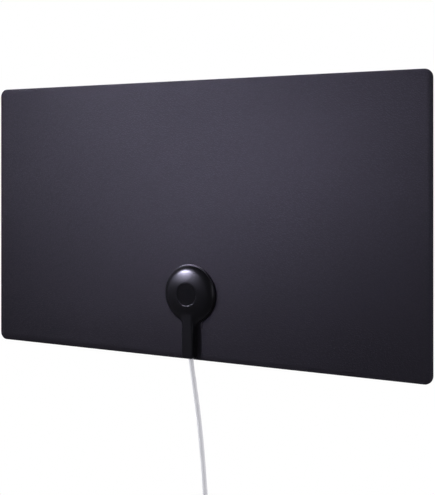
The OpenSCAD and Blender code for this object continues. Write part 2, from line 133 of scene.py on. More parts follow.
def add_node(
    tree: bpy.types.NodeTree,
    kind: str,
    settings: Mapping[str | int, Any] | None = None,
    links: Mapping[str | int, bpy.types.NodeSocket] | None = None,
) -> bpy.types.Node:
    """Adds a node with its settings and links.

    Args:
        tree: The node tree that gets the node.
        kind: The node's type, such as "ShaderNodeTexNoise".
        settings: Values by input (name or number) or by property name.
        links: Sockets that feed inputs, by input name or number.

    Returns:
        The new node.
    """
    node = tree.nodes.new(kind)
    for key, value in (settings or {}).items():
        if isinstance(key, int) or key in node.inputs:
            node.inputs[key].default_value = value
        else:
            setattr(node, key, value)
    for key, socket in (links or {}).items():
        tree.links.new(socket, node.inputs[key])
    return node


def maths(
    tree: bpy.types.NodeTree, operation: str, *terms: float | bpy.types.NodeSocket, **settings: Any
) -> bpy.types.NodeSocket:
    """Adds a Math node.

    Args:
        tree: The node tree that gets the node.
        operation: Its operation, such as "MAXIMUM".
        terms: Its inputs in order, each a number or a socket.
        settings: Other properties, by name.

    Returns:
        The socket with the result.
    """
    sockets = {i: t for i, t in enumerate(terms) if isinstance(t, bpy.types.NodeSocket)}
    numbers = {i: t for i, t in enumerate(terms) if i not in sockets}
    both = {"operation": operation, **settings, **numbers}
    return add_node(tree, "ShaderNodeMath", both, sockets).outputs[0]


def noise(
    tree: bpy.types.NodeTree, place: bpy.types.NodeSocket, scale: float, **settings: float
) -> Mapping[str, bpy.types.NodeSocket]:
    """Adds a Noise node.

    Args:
        tree: The node tree that gets the node.
        place: The coordinates that it reads.
        scale: Marks per metre.
        settings: Other inputs, by name.

    Returns:
        Its outputs, "Fac" and "Color".
    """
    values = {"Scale": scale, "Detail": SOFT_DETAIL, **settings}
    return add_node(tree, "ShaderNodeTexNoise", values, {"Vector": place}).outputs


def empty_tree(block: bpy.types.Material | bpy.types.World) -> bpy.types.NodeTree:
    """Switches the nodes of a material or a world on and clears them.

    Args:
        block: The material or the world.

    Returns:
        Its node tree, empty.
    """
    block.use_nodes = True
    block.node_tree.nodes.clear()
    return block.node_tree


# Finishes


class Relief(Enum):
    """The pattern of a surface's small relief, as the way it was made leaves it."""

    LEATHER = "pebbles from a grained roller"
    EVEN = "fine grains, the same in every direction"
    DRAWN = "lines along X"
    TURNED = "rings round Z"
    WOVEN = "strands that cross"


# How the noise is stretched. The smaller a number, the longer the marks along that axis.
STRETCH = {
    Relief.EVEN: (1, 1, 1),
    Relief.DRAWN: (0.04, 1, 1),
    Relief.TURNED: (0.05, 0.05, 1),
}
SOFT_DETAIL = 2.0
FINE_DETAIL = 3.0
NOISE_ROUGHNESS = 0.6
# A wave texture has about three waves to a unit. At a sixth of the scale a wave is about
# two sizes long, for a strand and a gap.
WEAVE_DIVISOR = 6
WEAVE_WOBBLE = 0.4
# Pebbles of the leather grain are pushed about by this many pebbles, over two of them.
PEBBLE_PUSH = 1.2
PEBBLE_BEND = 2
# How far a crease reaches into a pebble, and how fine and how high the grit on it is.
CREASE = 0.32
GRIT_FINER = 3
GRIT_HEIGHT = 0.35


@dataclass(frozen=True)
class Finish:
    """One finish: what the surface is, how it was made and how it looks.

    Attributes:
        name: The material's name.
        colour: Hex code of its colour where the relief is low.
        tone: Hex code of its colour where the relief and the slow changes are high.
        relief: The pattern of its small relief.
        size_mm: Size of one mark of the relief.
        depth_mm: Depth of the relief.
        roughness: Its mean roughness.
        spread: How much rougher the low places are, and how much smoother the high ones.
        drift_mm: Size of the slow changes of tone.
        metallic: 1 for a metal.
        specular: Strength of its highlights, 0.5 for a common plastic.
        gloss_tint: Hex code of its highlights.
    """

    name: str
    colour: str
    tone: str
    relief: Relief
    size_mm: float
    depth_mm: float
    roughness: float
    spread: float = 0.06
    drift_mm: float = 20.0
    metallic: float = 0.0
    specular: float = 0.5
    gloss_tint: str = "#ffffff"

    def height(
        self, tree: bpy.types.NodeTree, place: bpy.types.NodeSocket
    ) -> bpy.types.NodeSocket:
        """Draws the small relief as a height from 0 to about 1.

        Args:
            tree: The material's node tree.
            place: The coordinates that the pattern reads.

        Returns:
            The socket that carries the height.
        """
        scale = 1 / mm(self.size_mm)
        if self.relief is Relief.LEATHER:
            return self.leather(tree, place, scale)
        if self.relief is Relief.WOVEN:
            weave = {"Scale": scale / WEAVE_DIVISOR, "Distortion": WEAVE_WOBBLE}
            waves = [
                add_node(
                    tree, "ShaderNodeTexWave", {"bands_direction": axis, **weave}, {"Vector": place}
                ).outputs["Fac"]
                for axis in ("X", "Z")
            ]
            return maths(tree, "MAXIMUM", *waves)
        mapped = add_node(
            tree, "ShaderNodeMapping", {"Scale": STRETCH[self.relief]}, {"Vector": place}
        ).outputs[0]
        fine = noise(tree, mapped, scale, Detail=FINE_DETAIL, Roughness=NOISE_ROUGHNESS)
        return fine["Fac"]

    def leather(
        self, tree: bpy.types.NodeTree, place: bpy.types.NodeSocket, scale: float
    ) -> bpy.types.NodeSocket:
        """Draws rounded pebbles with creases between them.

        Args:
            tree: The material's node tree.
            place: The coordinates that the pattern reads.
            scale: Pebbles per metre.

        Returns:
            The socket that carries the height.
        """
        bend = noise(tree, place, scale / PEBBLE_BEND)
        pushed = add_node(
            tree,
            "ShaderNodeVectorMath",
            {"operation": "MULTIPLY_ADD", 1: (PEBBLE_PUSH / scale,) * 3},
            {0: bend["Color"], 2: place},
        )
        to_edge = {"feature": "DISTANCE_TO_EDGE", "Scale": scale}
        cells = add_node(tree, "ShaderNodeTexVoronoi", to_edge, {"Vector": pushed.outputs[0]})
        rounding = {"interpolation_type": "SMOOTHSTEP", "From Max": CREASE}
        pebbles = add_node(
            tree, "ShaderNodeMapRange", rounding, {"Value": cells.outputs["Distance"]}
        )
        grit = noise(tree, place, scale * GRIT_FINER)["Fac"]
        return maths(tree, "MULTIPLY_ADD", grit, GRIT_HEIGHT, pebbles.outputs[0])

    def material(self) -> bpy.types.Material:
        """Builds the material from nodes, once for each name.

        Returns:
            The new material, or the one already built under this name.
        """
        made = bpy.data.materials.get(self.name)
        if made:
            return made
        made = bpy.data.materials.new(self.name)
        tree = empty_tree(made)
        place = add_node(tree, "ShaderNodeTexCoord").outputs["Object"]
        height = self.height(tree, place)
        drift = noise(tree, place, 1 / mm(self.drift_mm))["Fac"]
        blend = maths(tree, "MULTIPLY", drift, height, use_clamp=True)
        tones = dict(zip(MIX_COLOURS, (linear(self.colour), linear(self.tone))))
        colour = add_node(tree, "ShaderNodeMix", {"data_type": "RGBA", **tones}, {0: blend})
        rough = add_node(
            tree,
            "ShaderNodeMapRange",
            {"To Min": self.roughness + self.spread, "To Max": self.roughness - self.spread},
            {"Value": height},
        )
        depth = {"Distance": mm(self.depth_mm)}
        bump = add_node(tree, "ShaderNodeBump", depth, {"Height": height})
        shader = add_node(
            tree,
            "ShaderNodeBsdfPrincipled",
            {
                "Metallic": self.metallic,
                "Specular IOR Level": self.specular,
                "Specular Tint": linear(self.gloss_tint),
            },
            {
                "Base Color": colour.outputs[MIX_COLOUR_OUT],
                "Roughness": rough.outputs[0],
                "Normal": bump.outputs[0],
            },
        )
        add_node(tree, "ShaderNodeOutputMaterial", {}, {"Surface": shader.outputs[0]})
        return made


# Each finish by its slot in the record.
FINISHES: dict[str, Finish] = {
    # Calendered vinyl film with a leather grain: a broad broken sheen on dark violet grey.
    # Real pebbles measure about 0.8 mm. They are drawn about twice as coarse, to show.
    "film_front": Finish(
        "calendered_vinyl_leather_grain", "#141317", "#1d1b21", Relief.LEATHER,
        size_mm=1.7, depth_mm=0.05, roughness=0.62, spread=0.05, drift_mm=60,
        specular=0.26, gloss_tint="#ebe5ff",
    ),
    # The same film without grain: flat, matt and a little uneven in tone.
    "film_rear": Finish(
        "calendered_vinyl_matt", "#18181b", "#222226", Relief.EVEN,
        size_mm=1.2, depth_mm=0.01, roughness=0.62, drift_mm=45, specular=0.15,
    ),
    # Rolled aluminium foil: bright, with fine lines along the way it was rolled.
    "foil": Finish(
        "rolled_aluminium_foil", "#dfe0e2", "#c9cbd0", Relief.DRAWN,
        size_mm=0.4, depth_mm=0.003, roughness=0.28, drift_mm=30, metallic=1,
    ),
    # Acrylic foam tape: dull, yellowish white and faintly pitted.
    "adhesive": Finish(
        "acrylic_foam_tape", "#e4e1d6", "#d2cdbd", Relief.EVEN,
        size_mm=0.6, depth_mm=0.03, roughness=0.8, drift_mm=8,
    ),
    # Moulded ABS with a fine spark texture: satin black with a soft, slightly cold highlight.
    "shell_black": Finish(
        "moulded_abs_spark_texture", "#08080a", "#0e0e11", Relief.EVEN,
        size_mm=0.35, depth_mm=0.005, roughness=0.29, spread=0.04, drift_mm=12,
        specular=0.55, gloss_tint="#f0edff",
    ),
    # The same ABS out of a smoother mould: a touch glossier, so that the disc stands apart.
    "medallion_black": Finish(
        "moulded_abs_eggshell", "#070709", "#0d0d10", Relief.EVEN,
        size_mm=0.25, depth_mm=0.003, roughness=0.24, spread=0.04, drift_mm=9,
        specular=0.5, gloss_tint="#f0edff",
    ),
    # Zinc-plated steel: grey and slightly cloudy.
    "screw_zinc": Finish(
        "zinc_plated_steel", "#c3c4c2", "#a9aaa6", Relief.EVEN,
        size_mm=0.3, depth_mm=0.004, roughness=0.34, drift_mm=3, metallic=1,
    ),
    # Glass-epoxy laminate under solder resist: green, with the weave just showing.
    "board_green": Finish(
        "glass_epoxy_solder_resist", "#1f5a33", "#2f7a48", Relief.WOVEN,
        size_mm=0.5, depth_mm=0.01, roughness=0.32, drift_mm=6,
    ),
    # Sintered ferrite: dull dark grey with a dry, sandy skin.
    "ferrite": Finish(
        "sintered_ferrite", "#3a3a3e", "#4b4b50", Relief.EVEN,
        size_mm=0.2, depth_mm=0.02, roughness=0.7, drift_mm=4,
    ),
    # Enamelled copper wire: warm red metal under clear enamel.
    "copper_wire": Finish(
        "enamelled_copper", "#c46a35", "#a5491f", Relief.DRAWN,
        size_mm=0.2, depth_mm=0.002, roughness=0.25, drift_mm=3, metallic=1,
    ),
    # Fired ceramic: matt brown with a fine grain.
    "chip_ceramic": Finish(
        "fired_ceramic", "#a8977a", "#8f7d60", Relief.EVEN,
        size_mm=0.1, depth_mm=0.004, roughness=0.55, drift_mm=1,
    ),
    # Rolled brass: bright yellow with soft lines.
    "rivet_brass": Finish(
        "rolled_brass", "#dcb96a", "#bb9446", Relief.DRAWN,
        size_mm=0.2, depth_mm=0.003, roughness=0.25, drift_mm=3, metallic=1,
    ),
    # Extruded PVC jacket: soft light grey and satin, with a faintly uneven skin.
    "cord_pvc": Finish(
        "extruded_pvc_jacket", "#dfdfe5", "#d0d0d7", Relief.EVEN,
        size_mm=0.7, depth_mm=0.015, roughness=0.42, drift_mm=14,
    ),
    # Tinned copper braid: grey strands that cross.
    "braid_tin": Finish(
        "tinned_copper_braid", "#c6c8c9", "#9fa1a3", Relief.WOVEN,
        size_mm=0.25, depth_mm=0.05, roughness=0.35, drift_mm=2, metallic=1,
    ),
    # Foamed polyethylene: milky white and waxy.
    "dielectric_white": Finish(
        "foamed_polyethylene", "#efefea", "#e2e2da", Relief.EVEN,
        size_mm=0.3, depth_mm=0.01, roughness=0.5, drift_mm=3,
    ),
    # Moulded nylon: black and slightly waxy.
    "clamp_nylon": Finish(
        "moulded_nylon", "#2b2b2e", "#37373b", Relief.EVEN,
        size_mm=0.3, depth_mm=0.01, roughness=0.45, drift_mm=4,
    ),
    # Moulded nylon strap: black and satin, with fine lines.
    "tie_black": Finish(
        "moulded_nylon_strap", "#161618", "#212124", Relief.DRAWN,
        size_mm=0.5, depth_mm=0.02, roughness=0.42, drift_mm=5,
    ),
    # PVC moulded over the plug: the jacket's grey, a little softer and duller.
    "plug_pvc": Finish(
        "overmoulded_pvc", "#dadae0", "#cbcbd2", Relief.EVEN,
        size_mm=0.4, depth_mm=0.012, roughness=0.5, drift_mm=7,
    ),
    # Nickel-plated brass: satin, warm silver, with lathe lines.
    "plug_nickel": Finish(
        "nickel_plated_brass", "#d9d6cf", "#c6c2b9", Relief.TURNED,
        size_mm=0.5, depth_mm=0.002, roughness=0.3, spread=0.05, drift_mm=5, metallic=1,
    ),
    # Turned brass: satin yellow with lathe lines.
    "pin_brass": Finish(
        "turned_brass", "#e2c078", "#c99f52", Relief.TURNED,
        size_mm=0.4, depth_mm=0.002, roughness=0.3, spread=0.05, drift_mm=3, metallic=1,
    ),
}


# The bench


def deselect_everything() -> None:
    """Leaves edit mode and selects nothing, because an operator acts on all that is selected."""
    if bpy.context.mode != "OBJECT":
        bpy.ops.object.mode_set(mode="OBJECT")
    bpy.ops.object.select_all(action="DESELECT")


class Workpiece:
    """A mesh on the bench, shaped in edit mode with Blender's own tools."""

    def __init__(self, name: str, obj: bpy.types.Object) -> None:
        """Takes an object onto the bench, selected and active.

        Args:
            name: The name that it and its mesh get.
            obj: The object.
        """
        self.obj = obj
        obj.name = obj.data.name = name
        deselect_everything()
        obj.select_set(True)
        bpy.context.view_layer.objects.active = obj

    @classmethod
    def block(cls, name: str, centre: Vector, size: Vector) -> Workpiece:
        """Starts from a block.

        Args:
            name: The piece's name.
            centre: The block's centre.
            size: Its three sides.

        Returns:
            The block on the bench, in edit mode.
        """
        deselect_everything()
        bpy.ops.mesh.primitive_cube_add(size=1, location=centre, scale=size)
        piece = cls(name, bpy.context.object)
        bpy.ops.object.transform_apply(location=True, rotation=True, scale=True)
        bpy.ops.object.mode_set(mode="EDIT")
        return piece

    @classmethod
    def turned(
        cls, name: str, axis: Vector, profile: Sequence[Step], sides: int = 64
    ) -> Workpiece:
        """Turns a round piece from a short disc whose end is drawn out step by step.

        Args:
            name: The piece's name.
            axis: A point on the upright axis. Heights count from it.
            profile: Height and radius in millimetres of each step. Steps that turn
                inwards and then go back along the axis bore the piece.
            sides: Faces round the axis.

        Returns:
            The piece on the bench, in edit mode.
        """
        (z0, r0), (z1, r1), *rest = profile
        lower, upper = (r0, r1) if z1 > z0 else (r1, r0)
        deselect_everything()
        bpy.ops.mesh.primitive_cone_add(
            vertices=sides,
            radius1=mm(lower),
            radius2=mm(upper),
            depth=mm(abs(z1 - z0)),
            location=axis + UP * mm((z0 + z1) / 2),
        )
        piece = cls(name, bpy.context.object)
        bpy.ops.object.transform_apply(location=True, rotation=True, scale=True)
        bpy.ops.object.mode_set(mode="EDIT")
        end = axis.z + mm(z1)
        piece.faces(lambda c, n: abs(c.z - end) < SLACK and abs(n.z) > ALONG)
        height, radius = z1, r1
        for z, r in rest:
            bpy.ops.mesh.extrude_region_move(
                TRANSFORM_OT_translate={"value": UP * mm(z - height)}
            )
            bpy.ops.transform.resize(
                value=(r / radius, r / radius, 1), center_override=axis + UP * mm(z)
            )
            height, radius = z, r
        return piece

    def faces(self, wanted: Callable[[Vector, Vector], bool]) -> Workpiece:
        """Selects the faces whose centre and normal pass a test, and nothing else."""
        return self.pick("FACE", lambda f: wanted(f.calc_center_median(), f.normal))

    def edges(self, wanted: Callable[[Vector, Vector], bool]) -> Workpiece:
        """Selects the edges whose two ends pass a test, and nothing else."""
        return self.pick("EDGE", lambda e: wanted(e.verts[0].co, e.verts[1].co))

    def pick(self, kind: str, wanted: Callable[[Any], bool]) -> Workpiece:
        """Selects faces or edges by a test.

        Args:
            kind: "FACE" or "EDGE".
            wanted: The test for one face or edge.

        Returns:
            This piece, so that steps can follow each other.
        """
        bpy.ops.mesh.select_mode(type=kind)
        bpy.ops.mesh.select_all(action="DESELECT")
        mesh = bmesh.from_edit_mesh(self.obj.data)
        mesh.normal_update()
        for item in list(mesh.faces if kind == "FACE" else mesh.edges):
            if wanted(item):
                item.select_set(True)
        bmesh.update_edit_mesh(self.obj.data)
        return self

    def outwards(self) -> Workpiece:
        """Turns every face outwards."""
        bpy.ops.mesh.select_all(action="SELECT")
        bpy.ops.mesh.normals_make_consistent(inside=False)
        return self

    def modify(self, kind: str, **settings: Any) -> Workpiece:
        """Adds a modifier with its settings and applies it.

        Args:
            kind: The modifier's type, such as "BEVEL".
            settings: Its properties.

        Returns:
            This piece, in object mode.
        """
        bpy.ops.object.mode_set(mode="OBJECT")
        modifier = self.obj.modifiers.new(kind.title(), kind)
        for key, value in settings.items():
            setattr(modifier, key, value)
        bpy.ops.object.modifier_apply(modifier=modifier.name)
        return self

    def finish(self, slot: str, smooth_deg: float = 35) -> bpy.types.Object:
        """Smooths the shading, gives the piece its finish and lets it ride on the body.

        Args:
            slot: The finish, by its slot in the record.
            smooth_deg: Edges sharper than this stay sharp.

        Returns:
            The finished object.
        """
        if bpy.context.mode != "OBJECT":
            bpy.ops.object.mode_set(mode="OBJECT")
        bpy.ops.object.shade_smooth_by_angle(angle=math.radians(smooth_deg))
        dress(self.obj, slot)
        deselect_everything()
        return self.obj


def dress(obj: bpy.types.Object, slot: str) -> None:
    """Gives an object its finish, and lets a new piece ride on the body.

    Args:
        obj: A CAD node or a new piece.
        slot: The finish, by its slot in the record.
    """
    obj.data.materials.clear()
    obj.data.materials.append(FINISHES[slot].material())
    if "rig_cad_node" not in obj:
        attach(obj, BODY)


# The cord and what is on it


@dataclass
class Cord:
    """The free coaxial cord: its run down from the stem, its tied coil and its tail."""

    diameter_mm: float = 4.0
    length_m: float = 1.8
    exit_mm: Point = (2.45, -4.3, -118.5)
    route_mm: tuple[Point, ...] = (
        (3.8, -4.3, -127.5), (6.0, -4.0, -142.0), (8.1, -3.5, -157.0),
        (10.1, -3.0, -173.0), (11.9, -2.6, -191.0), (13.6, -2.4, -209.0),
        (15.1, -2.4, -227.0), (16.5, -2.6, -243.0), (17.7, -2.8, -256.0),
        (18.6, -3.0, -264.0),
    )
    coil_centre_mm: tuple[float, float] = (-9.0, -281.0)
    coil_radii_mm: tuple[float, ...] = (28.0, 24.0, 20.0)
    coil_layers_mm: tuple[float, ...] = (-3.0, -7.0, -11.0, -15.0)
    points_per_turn: int = 36
    shift_from_deg: float = 60.0
    shift_every_deg: float = 38.0
    shift_over_deg: float = 36.0
    tail_end_mm: float = -306.0
    tail_points: int = 4
    lead_in_mm: float = 1.0
    steps: int = 3
    roundness: int = 4

    def run(self) -> list[Vector]:
        """Draws the free run as a smooth curve through the route's points.

        Returns:
            Points from just inside the stem down to the coil.
        """
        knots = [mm(*p) for p in (self.exit_mm, *self.route_mm)]
        lead_in = knots[0] + (knots[0] - knots[1]).normalized() * mm(self.lead_in_mm)
        points = [lead_in]
        for i in range(len(knots) - 1):
            a, b = knots[max(i - 1, 0)], knots[i]
            c, d = knots[i + 1], knots[min(i + 2, len(knots) - 1)]
            for k in range(self.steps):
                t = k / self.steps
                # The cubic that takes its slope at each point from the neighbours.
                points.append(
                    0.5
                    * (
                        2 * b
                        + (c - a) * t
                        + (2 * a - 5 * b + 4 * c - d) * t**2
                        + (3 * b - a - 3 * c + d) * t**3
                    )
                )
        return points + [knots[-1]]

    def slots(self) -> list[tuple[float, float]]:
        """Lists the places in the coil in the order they are wound.

        Returns:
            Radius and depth of each place, in millimetres.
        """
        places = []
        for n, depth in enumerate(self.coil_layers_mm):
            radii = self.coil_radii_mm if n % 2 == 0 else self.coil_radii_mm[::-1]
            places += [(radius, depth) for radius in radii]
        return places

    def coil(self) -> list[Vector]:
        """Points of the wound turns, clockwise seen from the front.

        Each turn moves to its next place within one window of angle. The windows of
        the last layers come first, so that a place is empty when a turn moves in.

        Returns:
            The coil's centreline, from its right side round to its right side.
        """
        places = self.slots()
        wide = len(self.coil_radii_mm)
        last = 2 * len(self.coil_layers_mm) - 2
        points = []
        turns = len(places) - 1
        for i in range(turns * self.points_per_turn + 1):
            angle = FULL_TURN * i / self.points_per_turn
            turn = min(int(angle // FULL_TURN), turns - 1)
            window = last - (2 * (turn // wide) + (turn % wide == wide - 1))
            start = self.shift_from_deg + window * self.shift_every_deg
            t = min(max((angle - FULL_TURN * turn - start) / self.shift_over_deg, 0), 1)
            t = t * t * (3 - 2 * t)
            (r0, y0), (r1, y1) = places[turn], places[turn + 1]
            radius, depth = r0 + (r1 - r0) * t, y0 + (y1 - y0) * t
            x = self.coil_centre_mm[0] + radius * math.cos(math.radians(angle))
            z = self.coil_centre_mm[1] - radius * math.sin(math.radians(angle))
            points.append(mm(x, depth, z))
        return points

    def tail(self) -> list[Vector]:
        """Draws the tail that hangs from the coil into the plug.

        Returns:
            Points from below the coil's right side down into the grip.
        """
        x = self.coil_centre_mm[0] + self.coil_radii_mm[0]
        y, top = self.coil_layers_mm[-1], self.coil_centre_mm[1]
        return [
            mm(x, y, top + (self.tail_end_mm - top) * (k + 1) / self.tail_points)
            for k in range(self.tail_points)
        ]

    def build(self, pieces: Sequence[bpy.types.Object]) -> bpy.types.Object:
        """Args:
            pieces: The separate pieces on the cord. Not used.

        Returns:
            The cord.
        """
        points = self.run() + self.coil() + self.tail()
        curve = bpy.data.curves.new("coaxial_cord", "CURVE")
        curve.dimensions = "3D"
        curve.bevel_depth = mm(self.diameter_mm / 2)
        curve.bevel_resolution = self.roundness
        curve.use_fill_caps = True
        spline = curve.splines.new("POLY")
        spline.points.add(len(points) - 1)
        for knot, point in zip(spline.points, points):
            knot.co = (*point, 1)
        spline.use_smooth = True
        cord = bpy.data.objects.new("coaxial_cord", curve)
        bpy.context.scene.collection.objects.link(cord)
        dress(cord, "cord_pvc")
        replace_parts(cord, "antenna_cord", "cord_coil", "plug_cord")
        length = sum((b - a).length for a, b in zip(points, points[1:]))
        LOG.info("coaxial cord, %.3f m in %d points", length, len(points))
        return cord


@dataclass
class CordTie:
    """The strap that holds the coil: a band round its turns and a locking head."""

    angle_deg: float = 58.0
    width_mm: float = 5.0
    thick_mm: float = 0.8
    corner_steps: int = 6
    edge_mm: float = 0.2
    head_mm: Point = (2.6, 7.0, 6.4)
    head_out_mm: float = 0.9
    head_edge_mm: float = 0.7
    cord: Cord = field(default_factory=Cord)

    def build(self) -> bpy.types.Object:
        """Makes the strap as an open sleeve with rounded corners, then turns it into place.

        Returns:
            The strap and its head, as one piece.
        """
        centre = self.cord.coil_centre_mm
        radii, layers = self.cord.coil_radii_mm, self.cord.coil_layers_mm
        over = self.cord.diameter_mm + 2 * self.thick_mm
        size = mm(max(radii) - min(radii) + over, layers[0] - layers[-1] + over, self.width_mm)
        middle = mm(
            centre[0] + (max(radii) + min(radii)) / 2,
            (layers[0] + layers[-1]) / 2,
            centre[1],
        )
        strap = Workpiece.block("cord_tie_strap", middle, size)
        strap.faces(lambda c, n: abs(n.z) > ALONG)
        bpy.ops.mesh.delete(type="FACE")
        strap.edges(lambda a, b: abs(a.z - b.z) > mm(self.width_mm / 2))
        bpy.ops.mesh.bevel(offset=mm(over / 2), segments=self.corner_steps, affect="EDGES")
        strap.modify("SOLIDIFY", thickness=mm(self.thick_mm), offset=-1)
        strap.modify("BEVEL", width=mm(self.edge_mm), segments=2, limit_method="ANGLE")
        out = middle.x + size.x / 2
        head = Workpiece.block(
            "cord_tie_head",
            Vector((out + mm(self.head_out_mm), middle.y, middle.z)),
            mm(*self.head_mm),
        )
        head.modify("BEVEL", width=mm(self.head_edge_mm), segments=3)
        deselect_everything()
        for obj in (head.obj, strap.obj):
            obj.select_set(True)
        bpy.context.view_layer.objects.active = strap.obj
        bpy.ops.object.join()
        bpy.ops.object.mode_set(mode="EDIT")
        bpy.ops.mesh.select_all(action="SELECT")
        bpy.ops.transform.rotate(
            value=math.radians(self.angle_deg), orient_axis="Y",
            center_override=mm(centre[0], 0, centre[1]),
        )
        tie = strap.finish("tie_black")
        tie.name = tie.data.name = "cord_tie_band"
        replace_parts(tie, "cord_tie")
        LOG.info("cord tie")
        return tie


@dataclass(frozen=True)
class Rings:
    """Equal rings round a turned piece, raised or sunk.

    Attributes:
        first_mm: Where the first ring starts, along the axis.
        pitch_mm: From one ring to the next.
        count: Number of rings.
        steps_mm: A ring's section, as how far along and how far out each step lies.
    """

    first_mm: float
    pitch_mm: float
    count: int
    steps_mm: tuple[Step, ...]

    def profile(self, start: float, radius: Callable[[float], float]) -> list[Step]:
        """Lists the steps of all the rings.

        Args:
            start: Height that the rings count from, in millimetres.
            radius: The piece's own radius at a height.

        Returns:
            Height and radius of each step.
        """
        places = [start + self.first_mm + self.pitch_mm * n for n in range(self.count)]
        return [(z + along, radius(z) + out) for z in places for along, out in self.steps_mm]


@dataclass
class Plug:
    """The push-fit plug: a moulded grip, a metal sleeve, an insulator and a pin.

    Heights are counted upwards from the top of the grip, so those of the plug are below 0.
    """

    place_mm: Point = (19.0, -15.0, -303.0)
    relief_mm: float = 11.0
    relief_r_mm: tuple[float, float] = (3.7, 2.7)
    relief_rings: Rings = Rings(1.6, 2.3, 4, ((0, 0), (0.15, -0.55), (0.95, -0.6), (1.1, -0.1)))
    top_round_mm: float = 0.4
    shoulder_mm: tuple[Step, ...] = ((-3.0, 0.3), (-2.4, 0.2))
    grip_mm: float = 20.0
    grip_r_mm: float = 6.5
    rib_mm: float = 0.6
    ribs: Rings = Rings(4.0, 2.0, 6, ((0, 0), (0.25, 0.6), (0.95, 0.6), (1.2, 0)))
    collar_mm: float = 2.5
    collar_round_mm: float = 0.5
    collar_slope_mm: float = 0.3
    sleeve_r_mm: float = 4.76
    sleeve_mm: float = 9.0
    sleeve_t_mm: float = 0.6
    sleeve_groove: Rings = Rings(-1.2, 0.0, 1, ((0, 0), (-0.15, -0.12), (-0.45, -0.12), (-0.6, 0)))
    sleeve_mouth_mm: Step = (0.2, 0.15)
    tang_mm: float = 5.0
    tang_step_mm: Step = (0.01, 0.3)
    bore_short_mm: float = 0.1
    chamfer_mm: float = 0.35
    pin_r_mm: float = 1.2
    pin_root_mm: float = 3.0
    # The pin's rounded nose: height above the sleeve's mouth and share of the pin's radius.
    pin_nose: tuple[Step, ...] = ((1.6, 1.0), (1.1, 0.92), (0.75, 0.72), (0.5, 0.35))
    grip_sides: int = 48
    pin_sides: int = 32

    @property
    def grip_end(self) -> float:
        """Height of the grip's lower end, where the sleeve starts."""
        return -self.relief_mm - self.grip_mm

    def relief_r(self, z: float) -> float:
        """Radius of the bend relief at a height."""
        wide, narrow = self.relief_r_mm
        return wide + (narrow - wide) * (z + self.relief_mm) / self.relief_mm

    def grip_profile(self) -> list[Step]:
        """Lists the grip's steps, from the sleeve up to the cord.

        Returns:
            Height and radius of each step.
        """
        low, neck = self.grip_end, -self.relief_mm
        big, small = self.grip_r_mm, self.grip_r_mm - self.rib_mm
        wide, narrow = self.relief_r_mm
        return [
            (low, big - self.collar_round_mm),
            (low + self.collar_round_mm, big),
            (low + self.collar_mm, big),
            (low + self.collar_mm + self.collar_slope_mm, small),
            *self.ribs.profile(low, lambda z: small),
            *[(neck + along, small + out) for along, out in self.shoulder_mm],
            (neck, wide),
            *self.relief_rings.profile(neck, self.relief_r),
            (-self.top_round_mm, narrow),
            (0, narrow - self.top_round_mm),
        ]

    def sleeve_profile(self) -> list[Step]:
        """Lists the sleeve's steps: down its outside, round its mouth and up its bore.

        Returns:
            Height and radius of each step.
        """
        low, r = self.grip_end, self.sleeve_r_mm
        tip, bore = low - self.sleeve_mm, r - self.sleeve_t_mm
        drop, step = self.tang_step_mm
        rise, flare = self.sleeve_mouth_mm
        return [
            (low + self.tang_mm, r - step),
            (low, r - step),
            (low - drop, r),
            *self.sleeve_groove.profile(low, lambda z: r),
            (tip + self.chamfer_mm, r),
            (tip, r - self.chamfer_mm),
            (tip, bore + flare),
            (tip + rise, bore),
            (low + self.tang_mm - self.bore_short_mm, bore),
        ]

    def pin_profile(self) -> list[Step]:
        """Lists the pin's steps, from its root in the insulator down to its nose.

        Returns:
            Height and radius of each step.
        """
        low, tip = self.grip_end, self.grip_end - self.sleeve_mm
        nose = [(tip + above, self.pin_r_mm * share) for above, share in self.pin_nose]
        return [(low + self.pin_root_mm, self.pin_r_mm), *nose]

    def build(self) -> list[bpy.types.Object]:
        """Makes the new pieces of the plug.

        Returns:
            The grip, the sleeve and the pin.
        """
        axis = mm(*self.place_mm)
        grip = Workpiece.turned("plug_grip_moulded", axis, self.grip_profile(), self.grip_sides)
        made = [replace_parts(grip.finish("plug_pvc", smooth_deg=50), "plug_grip")]
        sleeve = Workpiece.turned("plug_sleeve_turned", axis, self.sleeve_profile()).outwards()
        made.append(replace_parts(sleeve.finish("plug_nickel"), "plug_sleeve"))
        pin = Workpiece.turned("plug_pin_turned", axis, self.pin_profile(), self.pin_sides)
        pin.outwards()
        made.append(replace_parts(pin.finish("pin_brass", smooth_deg=50), "plug_pin"))
        LOG.info("plug, %d new pieces", len(made))
        return made


# The sheet and the housing


